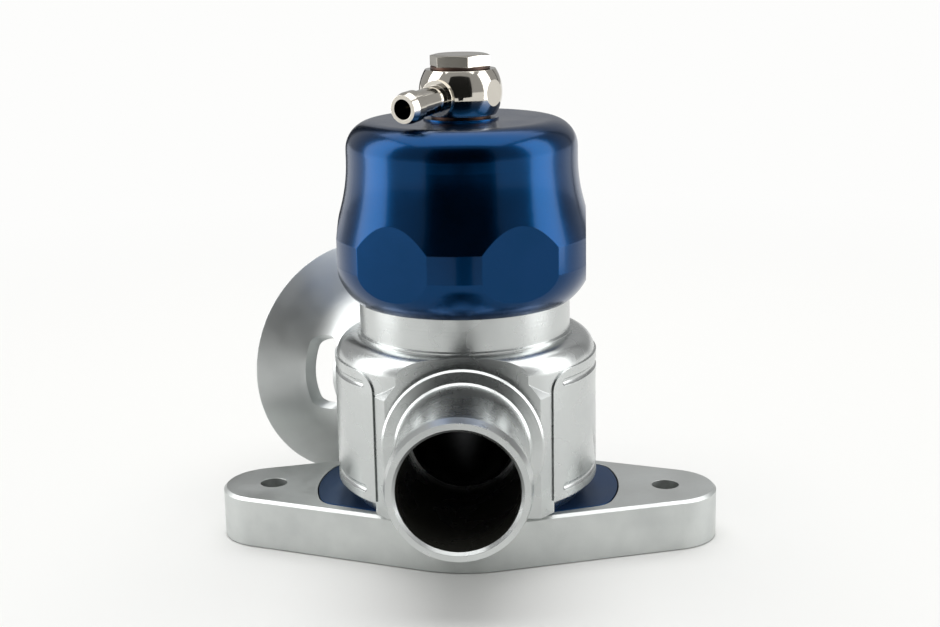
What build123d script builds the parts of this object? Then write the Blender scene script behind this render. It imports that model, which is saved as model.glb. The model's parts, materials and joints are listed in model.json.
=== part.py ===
from build123d import *
from math import acos, asin, atan2, copysign, cos, degrees, hypot, radians, sin, sqrt
import os

# Blow-off valve on a two-bolt adapter flange, in millimetres.
# Z is the valve axis and points up. The origin is the centre of the flange's underside.
# The flange's long axis is X, and the recirculation hose tail points to the front, -Y.

# Flange plate
flange_thick = 12.0
bolt_spacing = 96.0
bolt_hole_r = 3.3
flange_end_r = 12.3
flange_mid_r = 27.6
flange_chamfer = 0.7
flange_floor = 4.0
inlet_r = 15.5

# Adapter plate, let into the flange's top
adapter_end_r = 36.4
adapter_mid_r = 25.6
adapter_side_angle = 22.0
adapter_corner_r = 6.0
adapter_gap = 0.35
screw_x = 30.0
screw_y = 6.0
screw_r = 2.0
screw_head_r = 3.9
screw_reach = 6.5
screw_socket_af = 2.5
screw_socket_deep = 1.6

# Valve body
body_r = 31.25
panel_proud = 0.4
body_low = 15.5
foot_r = 27.5
spigot_r = 21.0
shoulder_r = 5.0
shoulder_top = 51.2
bead_proud = 0.65
bead_high = 0.6
neck_r = 25.0
neck_top = 64.0
neck_thread_r = 24.2
body_top = 74.0
bore_r = 18.0
seat_high = 16.0
panel_top = 46.6
panel_half_angle = 41.2
panel_corner_r = 4.5
panel_root = 1.0
groove_half_angle = 48.3
groove_r = 1.0
groove_sink = 0.55
groove_inset = 3.0

# Ports and their bosses, as distances out from the valve axis
recirc_turn = 2.0
vent_turn = 216.0
recirc_high = 30.8
vent_high = 33.0
spot_face = 27.0
boss_half_width = 17.6
boss_arch_high = 20.5
boss_corner_high = 10.5
boss_low = 13.0
boss_flare = 3.0
boss_arch_flare = 0.6
boss_back = 22.9
boss_wall = 1.0
duct_r = 13.2
port_thread_wall = 1.45
port_thread_deep = 7.5
recirc_window_r = 12.6
vent_window_r = 11.0

# Hose tail
collar_r = 18.5
collar_thick = 3.0
collar_edge = 0.5
tail_wall = 1.85
tail_mouth = 59.0
tail_mouth_proud = 0.15
barb_proud = 0.75
barb_back = 54.4
barb_land = 2.0
lip_chamfer = 0.7

# Trumpet
trumpet_wall = 2.6
flare_start = 36.0
flare_r = 12.0
bell_start = 37.3
bell_r = 10.0
rim_out = 51.9
rim_r = 31.3
rim_lip = 1.1
slot_low = 38.7
slot_high = 45.5
slot_half_angle = 35.0
slot_count = 3

# Piston, its seals and its spring
stroke = 18.0
stop_gap = 0.2
piston_gap = 0.06
piston_lift_gap = 0.3
piston_floor = 4.0
piston_wall = 3.0
guide_ring_drop = 5.5
guide_ring_tall = 2.2
guide_ring_thick = 1.3
ring_groove_drop = 10.0
seal_r = 0.82
nose_seal_r = 0.7
nose_seal_mid_r = 16.6
spring_mid_r = 12.4
spring_wire_r = 1.2
spring_turns = 7
spring_seat_thick = 2.0
spring_seat_r = 14.8
spring_seat_lip = 2.0
spring_ground = 0.35

# Cap
cap_low = 59.5
cap_top = 101.5
cap_foot_r = 25.5
cap_heel_r = 28.45
cap_heel_high = 62.7
cap_waist_r = 27.05
cap_waist_high = 92.5
cap_waist_bend = 39.0
cap_shoulder_r = 6.5
cap_skirt_r = 30.4
cap_skirt_top = 75.0
cap_skirt_low = 68.5
cap_flat_reach = 28.85
cap_flats = 6
cap_roof = 6.5
cap_chamber_r = 16.6
cap_fit_gap = 0.05
cap_step_gap = 0.5
cap_boss_r = 8.8
cap_boss_high = 0.4
cap_stem_r = 8.0
cap_stem_deep = 4.0

# Banjo fitting
ball_r = 9.7
ball_mid = 107.8
ball_half_high = 5.2
ball_bore_gap = 0.06
ball_flat_r = 3.05
ball_recess_r = 6.0
ball_recess_half = 2.2
washer_r = 6.9
washer_gap = 0.05
bolt_r = 4.0
bolt_bore_r = 2.0
bolt_cross_r = 1.3
bolt_head_af = 12.6
bolt_head_high = 2.7
bolt_head_over_ball = 0.7
bolt_head_chamfer = 0.75
bolt_head_turn = 48.0

# Vacuum nipple, as distances out from the ball's centre
nipple_turn = -29.9
nipple_droop = 4.6
nipple_start = 5.2
nipple_end = 23.1
nipple_bore_r = 2.3
nipple_wall = 0.8
nipple_collar_proud = 1.1
nipple_collar_end = 9.9
nipple_collar_thick = 1.6
nipple_barb_proud = 0.5
nipple_barb_back = 18.8
nipple_barb_land = 2.5
nipple_tip_proud = 0.1

# Static seals
face_ring_mid_r = 21.5
face_ring_r = 1.0
base_ring_mid_r = 18.2
base_ring_r = 0.8
base_ring_rise = 0.3
port_ring_r = 0.75
cap_ring_r = 0.9
cap_ring_high = 61.9
ring_side_room = 0.15

# How far a cutter runs past the surface that it opens
overrun = 1.0

# How much of a wall's room a bend may fill
bend_room = 0.99

# Sizes that follow from those above
panel_base_r = body_r - panel_proud
spigot_low = flange_floor + base_ring_rise
adapter_thick = flange_thick - flange_floor
ball_top = ball_mid + ball_half_high
ball_low = ball_mid - ball_half_high
cap_ceiling = cap_top - cap_roof
cap_stop = body_top + cap_step_gap
head_low = ball_top + bolt_head_over_ball
port_thread_r = duct_r + port_thread_wall
collar_front = spot_face + collar_thick
tail_r = duct_r + tail_wall
trumpet_barrel_r = duct_r + trumpet_wall
piston_r = bore_r - piston_gap
piston_low = seat_high + piston_lift_gap
piston_top = cap_stop - stop_gap - stroke
guide_ring_low = piston_top - guide_ring_drop
ring_groove_mid = piston_top - ring_groove_drop
ring_groove_floor = piston_r + piston_gap / 2 - 2 * seal_r
nose_seal_mid = seat_high + piston_gap + nose_seal_r
nipple_r = nipple_bore_r + nipple_wall
nipple_collar_r = nipple_r + nipple_collar_proud
nipple_seat = nipple_collar_end - nipple_collar_thick


def turned(points):
    """A solid of revolution about Z, from (radius, height) corners."""
    return revolve(make_face(Plane.XZ * Polyline(*points, close=True)), Axis.Z)


def tube(r_in, r_out, low, high):
    """A plain ring or tube on Z."""
    return turned([(r_in, low), (r_out, low), (r_out, high), (r_in, high)])


def rod(radius, low, high):
    """A plain cylinder on Z."""
    return Pos(0, 0, low) * Cylinder(radius, high - low, align=(Align.CENTER, Align.CENTER, Align.MIN))


def o_ring(mid_r, high, radius):
    """A round-section sealing ring on Z."""
    return Pos(0, 0, high) * Torus(mid_r, radius)


def port_frame(turn, high):
    """A frame on the valve axis whose Z looks out along a port; turn is counted from -Y towards +X."""
    t = radians(turn)
    return Plane(origin=(0, 0, high), x_dir=(cos(t), sin(t), 0), z_dir=(sin(t), -cos(t), 0))


recirc_frame = port_frame(recirc_turn, recirc_high)
vent_frame = port_frame(vent_turn, vent_high)


def diamond(mid_r, end_r, end_x):
    """Flange outline: a round middle and two round ends, joined by tangent lines."""
    lean = acos((mid_r - end_r) / end_x)
    corners = [(x + r * cos(lean), r * sin(lean)) for x, r in ((0, mid_r), (end_x, end_r))]
    corners += [(x, -y) for x, y in reversed(corners)]
    quad = make_face(Polyline(*corners, close=True))
    ends = [Pos(side * end_x, 0) * Circle(end_r) for side in (-1, 1)]
    return Circle(mid_r) + ends[0] + ends[1] + quad + mirror(quad, about=Plane.YZ)


def adapter_outline(grow=0.0):
    """Insert outline: a round middle, straight sides and wide round ends with softened corners."""
    lean = radians(adapter_side_angle)
    reach = adapter_mid_r / cos(lean)
    tip = adapter_mid_r / sin(lean)
    rhombus = make_face(Polyline((tip, 0), (0, reach), (-tip, 0), (0, -reach), close=True))
    face = Circle(adapter_end_r) & rhombus
    face = fillet(face.vertices().filter_by(lambda v: abs(v.Y) < adapter_mid_r), adapter_corner_r)
    face = fillet(face.vertices().filter_by(lambda v: abs(v.Y) > adapter_mid_r), adapter_mid_r)
    return offset(face, amount=grow) if grow else face


def screw_places():
    return [Pos(x, y) for x in (-screw_x, screw_x) for y in (-screw_y, screw_y)]


def screw_blank():
    """A countersunk screw standing on its head, without its socket."""
    neck = screw_head_r - screw_r
    end = flange_floor + screw_reach
    return turned([(0, 0), (screw_head_r, 0), (screw_r, neck), (screw_r, end), (0, end)])


def flange_plate():
    """Base flange: bolt holes, a pocket for the adapter plate, the inlet and two ring grooves."""
    outline = diamond(flange_mid_r, flange_end_r, bolt_spacing / 2)
    plate = extrude(outline, flange_thick)
    plate = chamfer(plate.edges().group_by(Axis.Z)[-1], flange_chamfer)
    plate -= Pos(0, 0, flange_floor) * extrude(adapter_outline(adapter_gap), adapter_thick)
    plate -= rod(inlet_r, 0, flange_floor)
    for side in (-1, 1):
        plate -= Pos(side * bolt_spacing / 2, 0) * rod(bolt_hole_r, 0, flange_thick)
    half = face_ring_r + ring_side_room
    plate -= tube(face_ring_mid_r - half, face_ring_mid_r + half, 0, 2 * face_ring_r)
    half = base_ring_r + ring_side_room
    groove_floor = spigot_low - 2 * base_ring_r
    plate -= tube(base_ring_mid_r - half, base_ring_mid_r + half, groove_floor, flange_floor)
    for place in screw_places():
        plate -= place * screw_blank()
    return plate


def adapter_plate():
    """Blue insert that the valve's spigot passes through, tapped for its four screws."""
    plate = Pos(0, 0, flange_floor) * extrude(adapter_outline(), adapter_thick)
    plate -= rod(spigot_r, flange_floor, flange_thick)
    for place in screw_places():
        plate -= place * screw_blank()
    return plate


def adapter_screws():
    socket = extrude(RegularPolygon(screw_socket_af / 2, 6, major_radius=False), screw_socket_deep)
    screw = screw_blank() - socket
    return Compound([place * screw for place in screw_places()])


def body_blank():
    """Body turned in one setting: foot, barrel, shoulder, bead, neck, thread, bore and seat."""
    barrel = panel_base_r
    bead_r = neck_r + bead_proud
    bead_top = shoulder_top + bead_high
    shoulder_low = shoulder_top - shoulder_r
    low = [(inlet_r, spigot_low), (spigot_r, spigot_low), (spigot_r, flange_thick), (foot_r, flange_thick),
           (barrel, body_low), (barrel, shoulder_low)]
    high = [(barrel - shoulder_r, shoulder_top), (bead_r, shoulder_top), (bead_r, bead_top),
            (neck_r, bead_top), (neck_r, neck_top), (neck_thread_r, neck_top), (neck_thread_r, body_top),
            (bore_r, body_top), (bore_r, seat_high), (inlet_r, seat_high), (inlet_r, spigot_low)]
    bend = shoulder_r * (1 - sqrt(0.5))
    arc = ThreePointArc(low[-1], (barrel - bend, shoulder_top - bend), high[0])
    outline = Plane.XZ * (Polyline(*low) + arc + Polyline(*high))
    return revolve(make_face(outline.edges()), Axis.Z)


def boss_section(half_width, arch_high, low):
    """A port boss from the front: straight sides and a round top."""
    left, right = (-half_width, boss_corner_high), (half_width, boss_corner_high)
    sides = Polyline(left, (-half_width, low), (half_width, low), right)
    arch = ThreePointArc(right, (0, arch_high), left)
    return make_face((sides + arch).edges())


def port_boss(high):
    """A boss round a port at that height, widening towards the barrel and ending in the flat spot-face."""
    low = boss_low - high
    front = Pos(0, 0, spot_face) * boss_section(boss_half_width, boss_arch_high, low)
    wide = boss_section(boss_half_width + boss_flare, boss_arch_high + boss_arch_flare, low)
    back = Pos(0, 0, boss_back) * wide
    root = extrude(back, boss_back - bore_r - boss_wall, dir=(0, 0, -1))
    return loft([back, front]) + root


def between_panels():
    """The zone in front of a port that the raised panels leave free, with rounded upper corners."""
    half = body_r * sin(radians(panel_half_angle))
    r = panel_corner_r
    bend = r * (1 - sqrt(0.5))
    edge = half + r
    right = ThreePointArc((half, panel_top - r), (half + bend, panel_top - bend), (edge, panel_top))
    left = ThreePointArc((-edge, panel_top), (-half - bend, panel_top - bend), (-half, panel_top - r))
    above = Polyline((edge, panel_top), (edge, body_top), (-edge, body_top), (-edge, panel_top))
    below = Polyline((-half, panel_top - r), (-half, 0), (half, 0), (half, panel_top - r))
    return extrude(make_face((right + above + left + below).edges()), 2 * body_r)


def panel_grooves():
    """Round-ended grooves near the top and bottom of each panel."""
    cutters = []
    spans = [(recirc_turn + groove_half_angle, vent_turn - groove_half_angle),
             (vent_turn + groove_half_angle, recirc_turn + 360 - groove_half_angle)]
    mid_r = body_r + groove_r - groove_sink
    for high in (body_low + groove_inset, panel_top - groove_inset):
        for start, end in spans:
            section = Plane.XZ * Pos(mid_r, high) * Circle(groove_r)
            cutters.append(Rot(0, 0, start - 90) * revolve(section, Axis.Z, end - start))
            for angle in (start - 90, end - 90):
                cutters.append(Rot(0, 0, angle) * Pos(mid_r, 0, high) * Sphere(groove_r))
    return cutters


def port_bore(window_r):
    """What a port takes out of the body: the spot-face, thread, sealing groove and window to the bore."""
    groove_r = port_thread_r + 2 * port_ring_r
    groove_low = spot_face - 2 * port_ring_r
    clearing = rod(boss_half_width + boss_arch_high, spot_face, 2 * body_r)
    thread = rod(port_thread_r, spot_face - port_thread_deep, spot_face + overrun)
    groove = tube(port_thread_r - overrun, groove_r, groove_low, spot_face + overrun)
    return [clearing, thread, groove, rod(window_r, bore_r / 2, spot_face)]


def valve_body():
    """Body with raised side panels, a spot-faced boss for each port, a bore and a seat for the piston."""
    body = body_blank()
    panels = tube(panel_base_r - panel_root, body_r, body_low + panel_proud, panel_top)
    for turn in (recirc_turn, vent_turn):
        panels -= port_frame(turn, 0) * between_panels()
    body += panels
    ports = ((recirc_frame, recirc_high, recirc_window_r), (vent_frame, vent_high, vent_window_r))
    for frame, high, window_r in ports:
        body += frame * port_boss(high)
    body -= rod(bore_r, seat_high, body_top) + rod(inlet_r, spigot_low, seat_high)
    for frame, high, window_r in ports:
        for cutter in port_bore(window_r):
            body -= frame * cutter
    for cutter in panel_grooves():
        body -= cutter
    half = cap_ring_r + ring_side_room
    groove_floor = neck_r + cap_fit_gap - 2 * cap_ring_r
    body -= tube(groove_floor, neck_r + overrun, cap_ring_high - half, cap_ring_high + half)
    return body


def recirc_tail():
    """Screw-in hose tail: spigot, collar, tube and barb."""
    low = spot_face - port_thread_deep
    land_front = barb_back + barb_land
    barb_r = tail_r + barb_proud
    mouth_r = tail_r + tail_mouth_proud
    profile = [(duct_r, low), (port_thread_r, low), (port_thread_r, spot_face), (collar_r, spot_face),
               (collar_r, collar_front - collar_edge), (collar_r - collar_edge, collar_front),
               (tail_r + collar_edge, collar_front), (tail_r, collar_front + collar_edge),
               (tail_r, barb_back), (barb_r, barb_back), (barb_r, land_front), (mouth_r, tail_mouth),
               (duct_r + lip_chamfer, tail_mouth), (duct_r, tail_mouth - lip_chamfer)]
    return recirc_frame * turned(profile)


def bend_to(radius, start, bend_r, end_r, end):
    """A wall that starts along the axis, bends outwards and runs on as a tangent line to (end_r, end).

    A bend that is too large for its wall is held to the room that the wall gives it.
    """
    way = copysign(1, end - start)
    spread, along = end_r - radius, abs(end - start)
    room = bend_room * (spread ** 2 + along ** 2) / 2
    bend_r = bend_r if bend_r * abs(spread) < room else room / abs(spread)
    out = spread - bend_r
    angle = atan2(along, -out) - acos(bend_r / hypot(out, along))
    points = [(radius + bend_r * (1 - cos(a)), start + way * bend_r * sin(a)) for a in (0, angle / 2, angle)]
    return [ThreePointArc(*points), Line(points[-1], (end_r, end))]


def round_slot(low, high, half_angle, r_out):
    """A round-ended slot cutter that goes through a turned wall, centred on +X."""
    end_r = (high - low) / 2
    mid = (low + high) / 2
    turn = half_angle - degrees(asin(end_r / trumpet_barrel_r))
    section = Plane.XZ * Pos(r_out / 2, mid) * Rectangle(r_out, high - low)
    slot = Rot(0, 0, -turn) * revolve(section, Axis.Z, 2 * turn)
    for side in (-turn, turn):
        slot += Rot(0, 0, side) * Pos(0, 0, mid) * Rot(0, 90, 0) * rod(end_r, 0, r_out)
    return slot


def trumpet():
    """Flared, slotted trumpet, screwed into the vent port."""
    low = spot_face - port_thread_deep
    outside = bend_to(trumpet_barrel_r, flare_start, flare_r, rim_r, rim_out)
    inside = bend_to(duct_r, bell_start, bell_r, rim_r - rim_lip, rim_out)
    shank = Polyline((duct_r, bell_start), (duct_r, low), (port_thread_r, low),
                     (port_thread_r, spot_face), (collar_r, spot_face), (collar_r, collar_front),
                     (trumpet_barrel_r, collar_front), (trumpet_barrel_r, flare_start))
    rim = Line((rim_r, rim_out), (rim_r - rim_lip, rim_out))
    outline = Plane.XZ * Curve(shank.edges() + outside + [rim] + inside)
    horn = revolve(make_face(outline.edges()), Axis.Z)
    for i in range(slot_count):
        horn -= Rot(0, 0, i * 360 / slot_count) * round_slot(slot_low, slot_high, slot_half_angle, rim_r)
    return vent_frame * horn


def piston():
    """Cup-shaped piston with grooves for its moving seal and guide ring, and for the seal on its nose."""
    inner_r = piston_r - piston_wall
    floor = piston_low + piston_floor
    cup = turned([(0, piston_low), (piston_r, piston_low), (piston_r, piston_top), (inner_r, piston_top),
                  (inner_r, floor), (0, floor)])
    half = seal_r + ring_side_room
    cup -= tube(ring_groove_floor, bore_r, ring_groove_mid - half, ring_groove_mid + half)
    cup -= tube(piston_r - guide_ring_thick, bore_r, guide_ring_low, guide_ring_low + guide_ring_tall)
    half = nose_seal_r + ring_side_room / 2
    cup -= tube(nose_seal_mid_r - half, nose_seal_mid_r + half, piston_low, nose_seal_mid + nose_seal_r)
    return cup


def main_spring():
    """Compression spring with closed, ground ends, between the piston's floor and the seat washer."""
    low = piston_low + piston_floor
    high = cap_ceiling - spring_seat_thick
    low_mid = low + spring_wire_r - spring_ground
    high_mid = high - spring_wire_r + spring_ground
    path = Helix(pitch=(high_mid - low_mid) / spring_turns, height=high_mid - low_mid, radius=spring_mid_r)
    wire = Plane(origin=path @ 0, z_dir=path % 0) * Circle(spring_wire_r)
    coil = Pos(0, 0, low_mid) * sweep(wire, path=path, is_frenet=True)
    for mid in (low_mid, high_mid):
        coil += o_ring(spring_mid_r, mid, spring_wire_r)
    return coil & rod(spring_mid_r + 2 * spring_wire_r, low, high)


def spring_seat():
    """Hard washer under the cap's roof with a lip that centres the spring."""
    lip_r = spring_mid_r - spring_wire_r - piston_gap
    low = cap_ceiling - spring_seat_thick
    lip_low = low - spring_seat_lip
    return turned([(cap_stem_r, cap_ceiling), (cap_stem_r, lip_low), (lip_r, lip_low), (lip_r, low),
                   (spring_seat_r, low), (spring_seat_r, cap_ceiling)])


def cap():
    """Bell-shaped cap: rounded shoulder, waist, flaring skirt with flats, rounded heel, and its inside."""
    fit_r = neck_r + cap_fit_gap
    thread_r = neck_thread_r + cap_fit_gap
    step = neck_top + cap_step_gap
    stem_low = cap_ceiling - cap_stem_deep
    boss_top = cap_top + cap_boss_high
    shoulder_low = cap_top - cap_shoulder_r
    shoulder_in = cap_waist_r - cap_shoulder_r
    bend = cap_shoulder_r * (1 - sqrt(0.5))
    heel = ThreePointArc((cap_foot_r, cap_low), (cap_heel_r, cap_heel_high), (cap_skirt_r, cap_skirt_low))
    skirt = Line((cap_skirt_r, cap_skirt_low), (cap_skirt_r, cap_skirt_top))
    flare = bend_to(cap_waist_r, cap_waist_high, cap_waist_bend, cap_skirt_r, cap_skirt_top)
    waist = Line((cap_waist_r, cap_waist_high), (cap_waist_r, shoulder_low))
    shoulder = ThreePointArc((cap_waist_r, shoulder_low), (cap_waist_r - bend, cap_top - bend),
                             (shoulder_in, cap_top))
    rest = Polyline((shoulder_in, cap_top), (cap_boss_r, cap_top), (cap_boss_r, boss_top), (bolt_r, boss_top),
                    (bolt_r, stem_low), (cap_stem_r, stem_low), (cap_stem_r, cap_ceiling),
                    (cap_chamber_r, cap_ceiling), (cap_chamber_r, cap_stop), (thread_r, cap_stop),
                    (thread_r, step), (fit_r, step), (fit_r, cap_low), (cap_foot_r, cap_low))
    outline = Plane.XZ * Curve([heel, skirt] + flare + [waist, shoulder] + rest.edges())
    shell = revolve(make_face(outline.edges()), Axis.Z)
    flats = RegularPolygon(cap_flat_reach, cap_flats, major_radius=False, rotation=180 / cap_flats)
    return shell & Pos(0, 0, cap_low) * extrude(flats, cap_top)


def nipple_frame():
    """A frame at the ball's centre whose Z runs out along the vacuum nipple."""
    t, d = radians(nipple_turn), radians(nipple_droop)
    way = (sin(t) * cos(d), -cos(t) * cos(d), -sin(d))
    return Plane(origin=(0, 0, ball_mid), x_dir=(cos(t), sin(t), 0), z_dir=way)


def banjo_ball():
    """Ball with two machined ends, two side flats, a bore for the bolt and a ring channel inside."""
    ball = Pos(0, 0, ball_mid) * Sphere(ball_r)
    ball &= rod(ball_r, ball_low, ball_top)
    ball -= rod(bolt_r + ball_bore_gap, ball_low, ball_top)
    ball -= rod(ball_recess_r, ball_mid - ball_recess_half, ball_mid + ball_recess_half)
    flat_out = sqrt(ball_r ** 2 - ball_flat_r ** 2)
    for side in (-1, 1):
        cutter = Pos(side * (flat_out + ball_r / 2), 0, ball_mid) * Box(ball_r, 2 * ball_r, 2 * ball_r)
        ball -= Rot(0, 0, nipple_turn) * cutter
    ball -= nipple_frame() * rod(nipple_r, nipple_start, ball_r)
    return ball - nipple_frame() * rod(nipple_collar_r, nipple_seat, ball_r)


def vacuum_nipple():
    """Barbed hose nipple pressed into the ball."""
    land_front = nipple_barb_back + nipple_barb_land
    barb_r = nipple_r + nipple_barb_proud
    tip_r = nipple_r + nipple_tip_proud
    profile = [(nipple_bore_r, nipple_start), (nipple_r, nipple_start), (nipple_r, nipple_seat),
               (nipple_collar_r, nipple_seat), (nipple_collar_r, nipple_collar_end),
               (nipple_r, nipple_collar_end), (nipple_r, nipple_barb_back), (barb_r, nipple_barb_back),
               (barb_r, land_front), (tip_r, nipple_end), (nipple_bore_r, nipple_end)]
    return nipple_frame() * turned(profile)


def banjo_bolt():
    """Hollow hexagon bolt with cross holes at the ball's channel."""
    low = cap_ceiling - cap_stem_deep
    top = head_low + bolt_head_high
    bore_top = ball_mid + ball_recess_half
    corner_r = bolt_head_af / sqrt(3)
    shank = turned([(bolt_bore_r, low), (bolt_r, low), (bolt_r, head_low), (0, head_low), (0, bore_top),
                    (bolt_bore_r, bore_top)])
    crown = turned([(0, head_low), (corner_r, head_low), (corner_r, top - bolt_head_chamfer / 2),
                    (corner_r - 2 * bolt_head_chamfer, top), (0, top)])
    blank = RegularPolygon(bolt_head_af / 2, 6, major_radius=False, rotation=bolt_head_turn)
    head = crown & Pos(0, 0, head_low) * extrude(blank, bolt_head_high)
    for turn in (0, 90):
        shank -= Rot(0, 0, turn) * Pos(0, 0, ball_mid) * Rot(0, 90, 0) * rod(bolt_cross_r, -bolt_r, bolt_r)
    return shank + head


def parts():
    """Every piece with its name, from the bottom up."""
    port_ring_mid = port_thread_r + port_ring_r
    guide_ring_r = piston_r + piston_gap / 2
    yield "flange_plate", flange_plate()
    yield "flange_face_ring", o_ring(face_ring_mid_r, face_ring_r, face_ring_r)
    yield "adapter_plate", adapter_plate()
    yield "adapter_screws", adapter_screws()
    yield "base_ring", o_ring(base_ring_mid_r, spigot_low - base_ring_r, base_ring_r)
    yield "valve_body", valve_body()
    yield "recirc_tail", recirc_tail()
    yield "recirc_ring", recirc_frame * o_ring(port_ring_mid, spot_face - port_ring_r, port_ring_r)
    yield "trumpet", trumpet()
    yield "trumpet_ring", vent_frame * o_ring(port_ring_mid, spot_face - port_ring_r, port_ring_r)
    yield "piston", piston()
    yield "piston_seal", o_ring(ring_groove_floor + seal_r, ring_groove_mid, seal_r)
    yield "piston_guide_ring", tube(piston_r - guide_ring_thick, guide_ring_r, guide_ring_low,
                                    guide_ring_low + guide_ring_tall)
    yield "piston_nose_seal", o_ring(nose_seal_mid_r, nose_seal_mid, nose_seal_r)
    yield "main_spring", main_spring()
    yield "spring_seat", spring_seat()
    yield "cap", cap()
    yield "cap_ring", o_ring(neck_r + cap_fit_gap - cap_ring_r, cap_ring_high, cap_ring_r)
    yield "banjo_washer_lower", tube(bolt_r, washer_r, cap_top + cap_boss_high, ball_low - washer_gap)
    yield "banjo_ball", banjo_ball()
    yield "vacuum_nipple", vacuum_nipple()
    yield "banjo_washer_upper", tube(bolt_r, washer_r, ball_top + washer_gap, head_low)
    yield "banjo_bolt", banjo_bolt()


os.makedirs("parts", exist_ok=True)
for name, shape in parts():
    export_step(shape, f"parts/{name}.step")
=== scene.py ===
import bpy
import json
from math import cos, radians, sin
from mathutils import Matrix, Vector

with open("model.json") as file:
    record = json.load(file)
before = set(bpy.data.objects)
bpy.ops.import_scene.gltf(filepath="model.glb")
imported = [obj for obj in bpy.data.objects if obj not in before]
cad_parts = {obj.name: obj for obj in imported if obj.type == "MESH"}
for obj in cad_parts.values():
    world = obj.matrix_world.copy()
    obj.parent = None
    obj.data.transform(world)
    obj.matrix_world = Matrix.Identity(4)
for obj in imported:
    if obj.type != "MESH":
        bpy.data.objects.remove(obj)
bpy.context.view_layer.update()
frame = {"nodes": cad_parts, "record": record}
nodes = frame["nodes"]

# Sizes are in metres, and a millimetre is written as mm.
mm = 0.001

# The photograph's frame, and the camera that sees the valve as it does
picture_width = 940
camera_at = Vector((26.90, -379.14, 147.26)) * mm
camera_turn = radians(-3.873)
camera_dip = radians(13.664)
camera_roll = radians(-1.055)
camera_focal = 1637.8
sensor = 36.0

# The valve's own axes, from the frame: the ports and the nipple
mounts = {m["name"]: m for m in frame["record"]["mounts"]}
up = Vector((0, 0, 1))
centre = Vector((0, 0, 0))
recirc_at = Vector(mounts["recirc_hose_tail"]["pos_m"])
recirc_way = Vector(mounts["recirc_hose_tail"]["axis"])
nipple_at = Vector(mounts["vacuum_nipple_tail"]["pos_m"])
nipple_way = Vector(mounts["vacuum_nipple_tail"]["axis"])
vent_turn = radians(216.0)
vent_high = 33.0 * mm
vent_way = Vector((sin(vent_turn), -cos(vent_turn), 0))
vent_at = Vector((0, 0, vent_high))

# The radii within which the hose tail and the body get painted shade, a dull dark grey, a hair more than
# those of duct and bore
shade_duct_r = 13.25 * mm
shade_bore_r = 18.05 * mm

# The light, in watts, metres and shares of full white
top_box_power = 13.0
side_box_power = 0.55
side_box_wide = 0.16
side_box_high = 0.34
cap_middle = (0, 0, 0.10)
valve_middle = (0, 0, 0.06)
rear_cards_high = 0.5
sky_strength = 0.42
paper_white = 1.0

# The floor's half width, its gap under the flange, and where its fade to plain white starts and ends
floor_half = 40.0
floor_gap = 0.2 * mm
fade_start = 0.18
fade_end = 0.5


def linear(colour):
    """An sRGB hex colour as linear values, with an alpha of 1."""
    parts = [int(colour[i:i + 2], 16) / 255 for i in (0, 2, 4)]
    return [c / 12.92 if c <= 0.04045 else ((c + 0.055) / 1.055) ** 2.4 for c in parts] + [1.0]


def add(tree, kind, settings=None, **inputs):
    """Adds a node; settings are its own values, and an input is a value or another node's output."""
    node = tree.nodes.new(kind)
    for name, value in (settings or {}).items():
        setattr(node, name, value)
    for name, value in inputs.items():
        key = int(name[1:]) if name[1:].isdigit() else name.replace("_", " ")
        if isinstance(value, bpy.types.NodeSocket):
            tree.links.new(value, node.inputs[key])
        else:
            node.inputs[key].default_value = value
    return node


def material(name, **sockets):
    """A material with its shader and output; sockets are the shader's constant values."""
    made = bpy.data.materials.new(name)
    made.use_nodes = True
    tree = made.node_tree
    tree.nodes.clear()
    shader = add(tree, "ShaderNodeBsdfPrincipled", **sockets)
    add(tree, "ShaderNodeOutputMaterial", Surface=shader.outputs["BSDF"])
    return made, tree, shader


def lathe_space(tree, where, origin, way):
    """A turned part's own coordinates: the distance from its axis as X, and the way along it as Y."""
    turn = way.to_track_quat("Z", "Y").inverted().to_euler()
    moved = add(tree, "ShaderNodeVectorMath", {"operation": "SUBTRACT"}, _0=where, _1=origin[:])
    turned = add(tree, "ShaderNodeMapping", Vector=moved.outputs[0], Rotation=turn[:])
    apart = add(tree, "ShaderNodeSeparateXYZ", Vector=turned.outputs[0])
    flat = add(tree, "ShaderNodeCombineXYZ", X=apart.outputs["X"], Y=apart.outputs["Y"])
    radius = add(tree, "ShaderNodeVectorMath", {"operation": "LENGTH"}, _0=flat.outputs[0])
    return add(tree, "ShaderNodeCombineXYZ", X=radius.outputs["Value"], Y=apart.outputs["Z"]).outputs[0]


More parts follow.
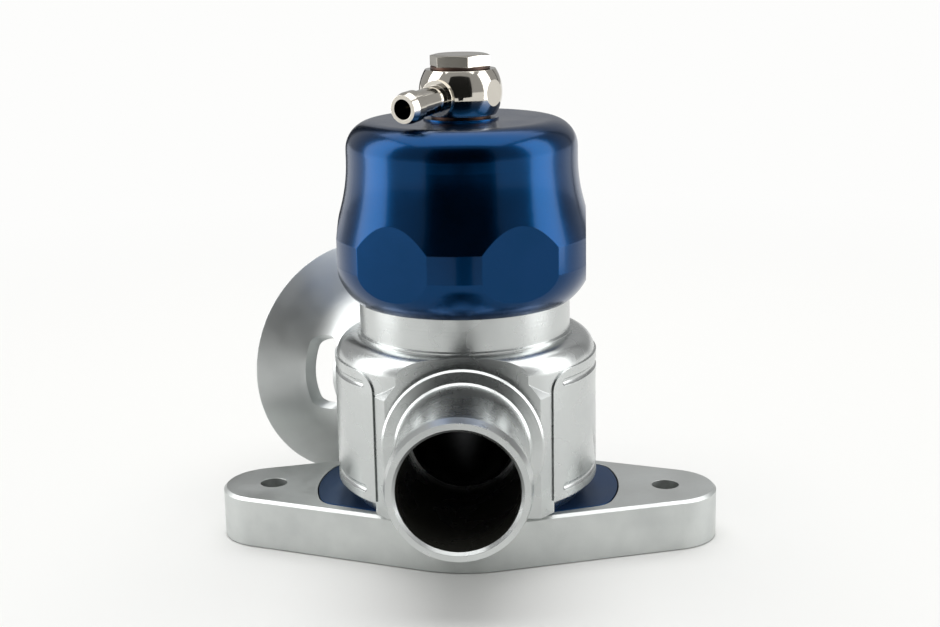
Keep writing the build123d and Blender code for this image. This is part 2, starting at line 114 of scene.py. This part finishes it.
def surface(tree, shader, where, marks, mark_depth, grain, grain_depth, rough, spread, edge, tint, tint_hex):
    """Joins tool marks, a fine grain, softened edges, uneven sheen and a faint tint to the shader.

    marks is a socket with the tool marks' height, grain the grain's size, edge the edges' radius,
    rough and spread the sheen and how far it wanders, and tint how much of tint_hex clouds the colour.
    """
    speck = add(tree, "ShaderNodeTexNoise", Vector=where, Scale=1 / grain, Detail=1.0)
    cloud = add(tree, "ShaderNodeTexNoise", Vector=where, Scale=1 / (9 * mm), Detail=3.0)
    soft = add(tree, "ShaderNodeBevel", {"samples": 8}, Radius=edge)
    tooled = add(tree, "ShaderNodeBump", Strength=1.0, Distance=mark_depth, Height=marks,
                 Normal=soft.outputs[0])
    grained = add(tree, "ShaderNodeBump", Strength=1.0, Distance=grain_depth, Height=speck.outputs["Fac"],
                  Normal=tooled.outputs[0])
    sheen = add(tree, "ShaderNodeMapRange", Value=cloud.outputs["Fac"], From_Min=0.3, From_Max=0.7,
                To_Min=rough - spread, To_Max=rough + spread)
    amount = add(tree, "ShaderNodeMapRange", Value=cloud.outputs["Fac"], From_Min=0.35, From_Max=0.75,
                 To_Min=0.0, To_Max=tint)
    colour = add(tree, "ShaderNodeMix", {"data_type": "RGBA"}, _0=amount.outputs[0],
                 _6=shader.inputs["Base Color"].default_value[:], _7=linear(tint_hex))
    tree.links.new(colour.outputs[2], shader.inputs["Base Color"])
    tree.links.new(sheen.outputs[0], shader.inputs["Roughness"])
    tree.links.new(grained.outputs[0], shader.inputs["Normal"])


def turned_aluminium(name, colour, rough, mark, origin, way, shade_bore_r=0.0):
    """Clear-anodised aluminium off the lathe: satin, with the fine rings that the tool leaves.

    The eye gets a soft grey-white sheen, drawn out along the part, and rings that catch the light.
    The real feed marks are about 0.1 mm apart, too fine to show, and are drawn wider. Within the last
    argument's radius a dull dark grey, not metal, is painted shade, so a duct reads as a deep dark hole.
    """
    made, tree, shader = material(name, Base_Color=linear(colour), Metallic=1.0)
    where = add(tree, "ShaderNodeTexCoord").outputs["Object"]
    rings = lathe_space(tree, where, origin, way)
    marks = add(tree, "ShaderNodeTexNoise", {"noise_dimensions": "2D"}, Vector=rings, Scale=1 / mark,
                Detail=3.0)
    surface(tree, shader, where, marks.outputs["Fac"], 0.009 * mm, 0.22 * mm, 0.003 * mm, rough, 0.05,
            0.12 * mm, 0.15, "9C9FA0")
    if shade_bore_r:
        apart = add(tree, "ShaderNodeSeparateXYZ", Vector=rings)
        # Within the radius a dull dark grey, not metal, is painted shade that darkens the duct and bore.
        in_painted_shade = add(tree, "ShaderNodeMath", {"operation": "LESS_THAN"}, _0=apart.outputs["X"], _1=shade_bore_r)
        outer = shader.inputs["Base Color"].links[0].from_socket
        painted_shade_colour = add(tree, "ShaderNodeMix", {"data_type": "RGBA"}, _0=in_painted_shade.outputs[0], _6=outer,
                      _7=linear("2B2B27"))
        bare = add(tree, "ShaderNodeMath", {"operation": "SUBTRACT"}, _0=1.0, _1=in_painted_shade.outputs[0])
        tree.links.new(painted_shade_colour.outputs[2], shader.inputs["Base Color"])
        tree.links.new(bare.outputs[0], shader.inputs["Metallic"])
    return made


def milled_aluminium(name, colour, rough):
    """Clear-anodised aluminium, milled and then blasted: an even matt grey with a fine sparkle of grit."""
    made, tree, shader = material(name, Base_Color=linear(colour), Metallic=1.0)
    where = add(tree, "ShaderNodeTexCoord").outputs["Object"]
    grit = add(tree, "ShaderNodeTexNoise", Vector=where, Scale=1 / (0.6 * mm), Detail=4.0, Roughness=0.7)
    surface(tree, shader, where, grit.outputs["Fac"], 0.030 * mm, 0.25 * mm, 0.010 * mm, rough, 0.06,
            0.2 * mm, 0.3, "A4A8A9")
    return made


def anodised_blue(name, colour, rough, coat_rough, mark, depth):
    """Aluminium, turned bright and dyed deep blue in its anodic film.

    The metal below reflects in blue, and the clear film over it adds a sharper, colourless reflection,
    so the eye gets a dark blue with soft windows of light in it.
    """
    made, tree, shader = material(name, Base_Color=linear(colour), Metallic=1.0, Coat_Weight=0.2,
                                  Coat_Roughness=coat_rough)
    where = add(tree, "ShaderNodeTexCoord").outputs["Object"]
    rings = lathe_space(tree, where, centre, up)
    marks = add(tree, "ShaderNodeTexNoise", {"noise_dimensions": "2D"}, Vector=rings, Scale=1 / mark,
                Detail=2.0)
    surface(tree, shader, where, marks.outputs["Fac"], depth, 0.4 * mm, 0.001 * mm, rough, 0.03,
            0.35 * mm, 0.25, "123A6B")
    return made


def bright_nickel(name, colour, rough, origin, way):
    """Bright nickel plate on turned brass: a warm mirror with the faintest turning lines under it."""
    made, tree, shader = material(name, Base_Color=linear(colour), Metallic=1.0)
    where = add(tree, "ShaderNodeTexCoord").outputs["Object"]
    rings = lathe_space(tree, where, origin, way)
    marks = add(tree, "ShaderNodeTexNoise", {"noise_dimensions": "2D"}, Vector=rings, Scale=1 / (0.5 * mm))
    surface(tree, shader, where, marks.outputs["Fac"], 0.002 * mm, 1.2 * mm, 0.002 * mm, rough, 0.04,
            0.12 * mm, 0.2, "A8A39A")
    return made


def moulded(name, colour, rough, grain, depth, tint_hex):
    """Moulded or machined rubber and plastic: dull, with a fine grain."""
    made, tree, shader = material(name, Base_Color=linear(colour))
    where = add(tree, "ShaderNodeTexCoord").outputs["Object"]
    flow = add(tree, "ShaderNodeTexNoise", Vector=where, Scale=1 / (4 * grain), Detail=2.0)
    surface(tree, shader, where, flow.outputs["Fac"], depth, grain, depth, rough, 0.08, 0.1 * mm, 0.5,
            tint_hex)
    return made


def drawn_steel(name, colour, rough):
    """Drawn steel: grey, with fine scratches and patches of duller sheen."""
    made, tree, shader = material(name, Base_Color=linear(colour), Metallic=1.0)
    where = add(tree, "ShaderNodeTexCoord").outputs["Object"]
    draw = add(tree, "ShaderNodeTexNoise", Vector=where, Scale=1 / (0.5 * mm), Detail=3.0)
    surface(tree, shader, where, draw.outputs["Fac"], 0.008 * mm, 0.3 * mm, 0.004 * mm, rough, 0.1,
            0.1 * mm, 0.4, "707274")
    return made


# What each visible node is finished in. The flange is matt beside the satin, turned body and hose tail,
# the trumpet is the dullest of the turned pieces, and the cap, ball and nipple are the bright ones.
aluminium = "C6C9C8"
finishes = {
    "flange_plate": milled_aluminium("blasted_clear_anodised_aluminium", "CED1CF", 0.42),
    "valve_body": turned_aluminium("turned_clear_anodised_aluminium", aluminium, 0.27, 0.35 * mm, centre, up,
                                   shade_bore_r),
    "recirc_tail": turned_aluminium("turned_tail_aluminium", aluminium, 0.27, 0.4 * mm, recirc_at, recirc_way,
                                    shade_duct_r),
    "trumpet": turned_aluminium("turned_trumpet_aluminium", "D6D9D8", 0.42, 0.5 * mm, vent_at, vent_way),
    "cap": anodised_blue("blue_anodised_turned_aluminium", "00345E", 0.24, 0.1, 0.4 * mm, 0.0015 * mm),
    "adapter_plate": anodised_blue("blue_anodised_milled_aluminium", "0F3A62", 0.42, 0.3, 0.7 * mm,
                                   0.012 * mm),
    "banjo_ball": bright_nickel("bright_nickel_plate", "D2CDC3", 0.07, centre, up),
    "vacuum_nipple": bright_nickel("bright_nickel_plate_on_nipple", "D2CDC3", 0.12, nipple_at, nipple_way),
    "banjo_bolt": bright_nickel("satin_nickel_plate", "C6C2B8", 0.2, centre, up),
    "piston": turned_aluminium("hard_anodised_aluminium", "3A3B3D", 0.35, 0.3 * mm, centre, up),
}
rubber = moulded("black_nitrile_rubber", "161616", 0.55, 0.3 * mm, 0.01 * mm, "222222")
copper = drawn_steel("dark_annealed_copper", "4A342A", 0.45)
ptfe = moulded("off_white_ptfe", "E2DFD6", 0.5, 0.3 * mm, 0.01 * mm, "D5D1C5")
spring_steel = drawn_steel("shot_peened_spring_steel", "9A9B9C", 0.34)
zinc_steel = drawn_steel("zinc_plated_steel", "B9BBBE", 0.3)
for name in ("flange_face_ring", "base_ring", "recirc_ring", "trumpet_ring", "piston_seal",
             "piston_nose_seal", "cap_ring"):
    finishes[name] = rubber
for name in ("banjo_washer_lower", "banjo_washer_upper"):
    finishes[name] = copper
for name in ("piston_guide_ring", "spring_seat"):
    finishes[name] = ptfe
finishes["main_spring"] = spring_steel
finishes["adapter_screws"] = zinc_steel
for name, finish in finishes.items():
    nodes[name].data.materials.clear()
    nodes[name].data.materials.append(finish)


def lamp(name, at, towards, width, height, power, diffuse=True):
    """A soft box that the camera doesn't see; one that isn't diffuse only shows in reflections."""
    data = bpy.data.lights.new(name, "AREA")
    data.shape = "RECTANGLE"
    data.size = width
    data.size_y = height
    data.energy = power
    made = bpy.data.objects.new(name, data)
    bpy.context.scene.collection.objects.link(made)
    made.location = at
    made.rotation_euler = (Vector(at) - Vector(towards)).to_track_quat("Z", "Y").to_euler()
    made.visible_camera = False
    made.visible_diffuse = diffuse
    return made


def upright(name, at, turn, width, high):
    """A black card that stands on the floor and only shows in reflections, as beside a studio lens."""
    side = Vector((cos(turn), sin(turn), 0)) * width / 2
    left, right = Vector(at) - side, Vector(at) + side
    lift = Vector((0, 0, high))
    mesh = bpy.data.meshes.new(name)
    mesh.from_pydata([left, right, right + lift, left + lift], [], [(0, 1, 2, 3)])
    made = bpy.data.objects.new(name, mesh)
    bpy.context.scene.collection.objects.link(made)
    mesh.materials.append(velvet)
    for ray in ("camera", "diffuse", "shadow", "transmission", "volume_scatter"):
        setattr(made, "visible_" + ray, False)
    return made


velvet, tree, shader = material("black_velvet", Base_Color=linear("0A0A0A"), Roughness=1.0)

# The side boxes give the cap its two windows of light, and the cards its dark middle and edges.
lamp("left_softbox", (-0.26, -0.02, 0.17), cap_middle, side_box_wide, side_box_high, side_box_power,
     diffuse=False)
lamp("right_softbox", (0.28, -0.02, 0.17), cap_middle, side_box_wide, side_box_high, side_box_power,
     diffuse=False)
lamp("top_softbox", (0.0, 0.1, 1.1), valve_middle, 1.6, 1.4, top_box_power)
upright("lens_card", (0.022, -0.30, 0.0), 0.0, 0.07, 0.16)
upright("front_card", (0.03, -0.46, 0.0), 0.0, 0.60, 0.60)
upright("left_rear_card", (-0.20, 0.40, 0.0), radians(-25), 0.16, rear_cards_high)
upright("right_rear_card", (0.30, 0.34, 0.0), radians(45), 0.30, rear_cards_high)

# The floor is white paper. Far from the valve, where the lamps fade, it shows its white by itself.
floor_mesh = bpy.data.meshes.new("floor")
floor_corners = [(x * floor_half, y * floor_half, 0) for x, y in ((-1, -1), (1, -1), (1, 1), (-1, 1))]
floor_mesh.from_pydata(floor_corners, [], [(0, 1, 2, 3)])
floor = bpy.data.objects.new("floor", floor_mesh)
bpy.context.scene.collection.objects.link(floor)
floor.location.z = -floor_gap
paper, tree, shader = material("white_paper", Base_Color=linear("F4F4F2"), Roughness=0.9,
                               Specular_IOR_Level=0.0)
where = add(tree, "ShaderNodeTexCoord").outputs["Object"]
away = add(tree, "ShaderNodeVectorMath", {"operation": "LENGTH"}, _0=where)
far = add(tree, "ShaderNodeMapRange", {"interpolation_type": "SMOOTHSTEP"}, Value=away.outputs["Value"],
          From_Min=fade_start, From_Max=fade_end)
rays = add(tree, "ShaderNodeLightPath")
seen = add(tree, "ShaderNodeMath", {"operation": "MAXIMUM"}, _0=rays.outputs["Is Camera Ray"],
           _1=rays.outputs["Is Glossy Ray"])
shown = add(tree, "ShaderNodeMath", {"operation": "MAXIMUM"}, _0=seen.outputs[0],
            _1=rays.outputs["Is Transmission Ray"])
share = add(tree, "ShaderNodeMath", {"operation": "MULTIPLY"}, _0=far.outputs[0], _1=shown.outputs[0])
white = add(tree, "ShaderNodeEmission", Color=linear("FDFDFC"), Strength=paper_white)
both = add(tree, "ShaderNodeMixShader", _0=share.outputs[0], _1=shader.outputs["BSDF"], _2=white.outputs[0])
tree.links.new(both.outputs[0], tree.nodes["Material Output"].inputs["Surface"])
floor_mesh.materials.append(paper)

world = bpy.data.worlds.new("studio")
bpy.context.scene.world = world
world.use_nodes = True
world.node_tree.nodes["Background"].inputs["Color"].default_value = (1, 1, 1, 1)
world.node_tree.nodes["Background"].inputs["Strength"].default_value = sky_strength

forward = Vector((sin(camera_turn) * cos(camera_dip), cos(camera_turn) * cos(camera_dip), -sin(camera_dip)))
level = Vector((cos(camera_turn), -sin(camera_turn), 0))
above = level.cross(forward)
right = cos(camera_roll) * level + sin(camera_roll) * above
top = -sin(camera_roll) * level + cos(camera_roll) * above
camera_data = bpy.data.cameras.new("camera")
camera_data.sensor_width = sensor
camera_data.lens = sensor * camera_focal / picture_width
camera_data.clip_start = 0.01
camera_data.clip_end = 100
camera = bpy.data.objects.new("camera", camera_data)
bpy.context.scene.collection.objects.link(camera)
camera.matrix_world = Matrix.Translation(camera_at) @ Matrix((right, top, -forward)).transposed().to_4x4()
bpy.context.scene.camera = camera
bpy.context.scene.view_settings.view_transform = "Standard"
